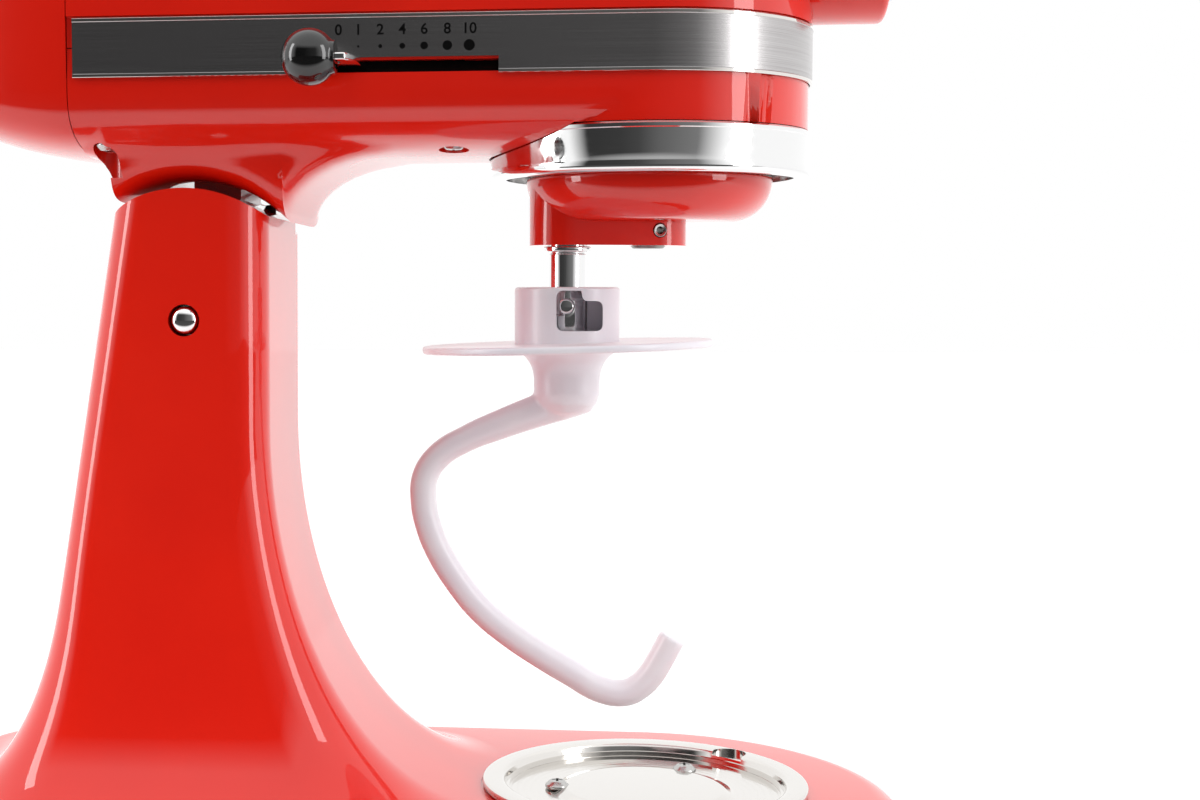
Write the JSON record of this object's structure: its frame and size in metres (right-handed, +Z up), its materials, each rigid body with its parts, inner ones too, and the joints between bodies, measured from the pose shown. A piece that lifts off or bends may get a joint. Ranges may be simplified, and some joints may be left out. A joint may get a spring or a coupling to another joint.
{
  "type": "stand mixer",
  "caption": "Tilt-head stand mixer with a hinged motor head on a swept pedestal, a planetary that carries a coated dough hook, a bowl clamp plate and an attachment hub.",
  "frame": {"origin": "on the counter, under the middle of the machine's bounding box", "axes": "+X forward along the head to the attachment hub, +Y to the machine's left seen from behind, away from the speed lever, +Z up"},
  "size_m": [0.3578, 0.178, 0.353],
  "materials": {
    "red_enamel": "gloss enamel",
    "chrome": "mirror polished",
    "brushed_steel": "brushed along the band",
    "steel": "machined",
    "rubber": "matte",
    "black_plastic": "gloss",
    "white_coating": "smooth white coating",
    "nylon": "moulded",
    "bronze": "machined",
    "laminations": "stacked sheet steel",
    "cast_alloy": "as cast"
  },
  "bodies": {
    "stand": {"pedestal": "red_enamel", "base_pan": "red_enamel", "clamp_plate": "chrome", "hinge_pin": "chrome", "hinge_set_screw": "steel", "foot_1": "rubber", "foot_2": "rubber", "foot_3": "rubber", "foot_4": "rubber", "foot_5": "rubber", "pedestal_screw_1": "steel", "pedestal_screw_2": "steel", "pedestal_screw_3": "steel", "pedestal_screw_4": "steel", "clamp_screw_1": "steel", "clamp_screw_2": "steel", "clamp_screw_3": "steel"},
    "height_screw": {"height_screw": "steel"},
    "head": {"lower_housing": "red_enamel", "upper_housing": "red_enamel", "rear_cap": "red_enamel", "trim_band": "brushed_steel", "drip_ring": "chrome", "internal_gear": "steel", "rear_cap_screw": "steel", "cord_gland": "rubber", "stator": "laminations", "front_bearing": "steel", "rear_bearing": "steel", "front_bracket": "cast_alloy", "rear_bracket": "cast_alloy", "brush_cap_1": "black_plastic", "brush_cap_2": "black_plastic", "hub_bush": "bronze", "housing_screw_1": "steel", "housing_screw_2": "steel", "housing_screw_3": "steel", "housing_screw_4": "steel"},
    "armature": {"armature": "steel", "cooling_fan": "black_plastic"},
    "hub_drive": {"hub_drive_gear": "steel"},
    "drive_pinion": {"drive_pinion": "steel", "worm_wheel": "nylon"},
    "lock": {"lock_shaft": "steel", "lock_lever": "black_plastic"},
    "speed_control": {"speed_lever": "chrome", "speed_knob": "black_plastic", "speed_link": "chrome"},
    "hub_cover": {"hub_cover": "chrome"},
    "attachment_knob": {"attachment_knob": "black_plastic"},
    "planetary": {"planetary": "red_enamel", "roll_pin": "steel", "centre_shaft": "steel", "centre_gear": "steel", "centre_bevel_gear": "steel"},
    "beater": {"beater_shaft": "chrome", "cross_pin": "chrome", "beater_pinion": "steel", "shaft_washer": "chrome", "dough_hook": "white_coating"}
  },
  "joints": [
    {"name": "head_tilt", "type": "hinge", "parent": "stand", "child": "head", "pos_m": [-0.0625, 0, 0.2], "axis": [0, -1, 0], "range_deg": [0, 27]},
    {"name": "height_screw_turn", "type": "hinge", "parent": "stand", "child": "height_screw", "pos_m": [-0.0407, 0, 0.2], "axis": [0, 0, 1], "range_deg": [-180, 180]},
    {"name": "lock_turn", "type": "hinge", "parent": "head", "child": "lock", "pos_m": [-0.07092, 0, 0.24776], "axis": [0, 1, 0], "range_deg": [0, 50]},
    {"name": "speed_slide", "type": "slide", "parent": "head", "child": "speed_control", "axis": [1, 0, 0], "range_m": [0, 0.041]},
    {"name": "planetary_spin", "type": "hinge", "parent": "head", "child": "planetary", "pos_m": [0.09, 0, 0.248], "axis": [0, 0, 1], "continuous": true},
    {"name": "beater_spin", "type": "hinge", "parent": "planetary", "child": "beater", "pos_m": [0.06275, -0.00833, 0.2046], "axis": [0, 0, 1], "continuous": true},
    {"name": "drive_pinion_spin", "type": "hinge", "parent": "head", "child": "drive_pinion", "pos_m": [0.05702, 0.026, 0.275], "axis": [0, 0, 1], "continuous": true},
    {"name": "armature_spin", "type": "hinge", "parent": "head", "child": "armature", "pos_m": [-0.01, 0, 0.305], "axis": [1, 0, 0], "continuous": true},
    {"name": "hub_drive_spin", "type": "hinge", "parent": "head", "child": "hub_drive", "pos_m": [0.12, 0, 0.324], "axis": [1, 0, 0], "continuous": true},
    {"name": "hub_cover_swing", "type": "hinge", "parent": "head", "child": "hub_cover", "pos_m": [0.1691, 0, 0.3468], "axis": [0, -1, 0], "range_deg": [0, 110]},
    {"name": "attachment_knob_turn", "type": "hinge", "parent": "head", "child": "attachment_knob", "pos_m": [0.152, 0.025, 0.324], "axis": [0, 1, 0], "range_deg": [0, 360]}
  ],
  "couplings": [
    {"joint": "beater_spin", "follows": "planetary_spin", "ratio": -3.1111},
    {"joint": "drive_pinion_spin", "follows": "planetary_spin", "ratio": -3.2},
    {"joint": "armature_spin", "follows": "planetary_spin", "ratio": 32},
    {"joint": "hub_drive_spin", "follows": "planetary_spin", "ratio": 2}
  ]
}
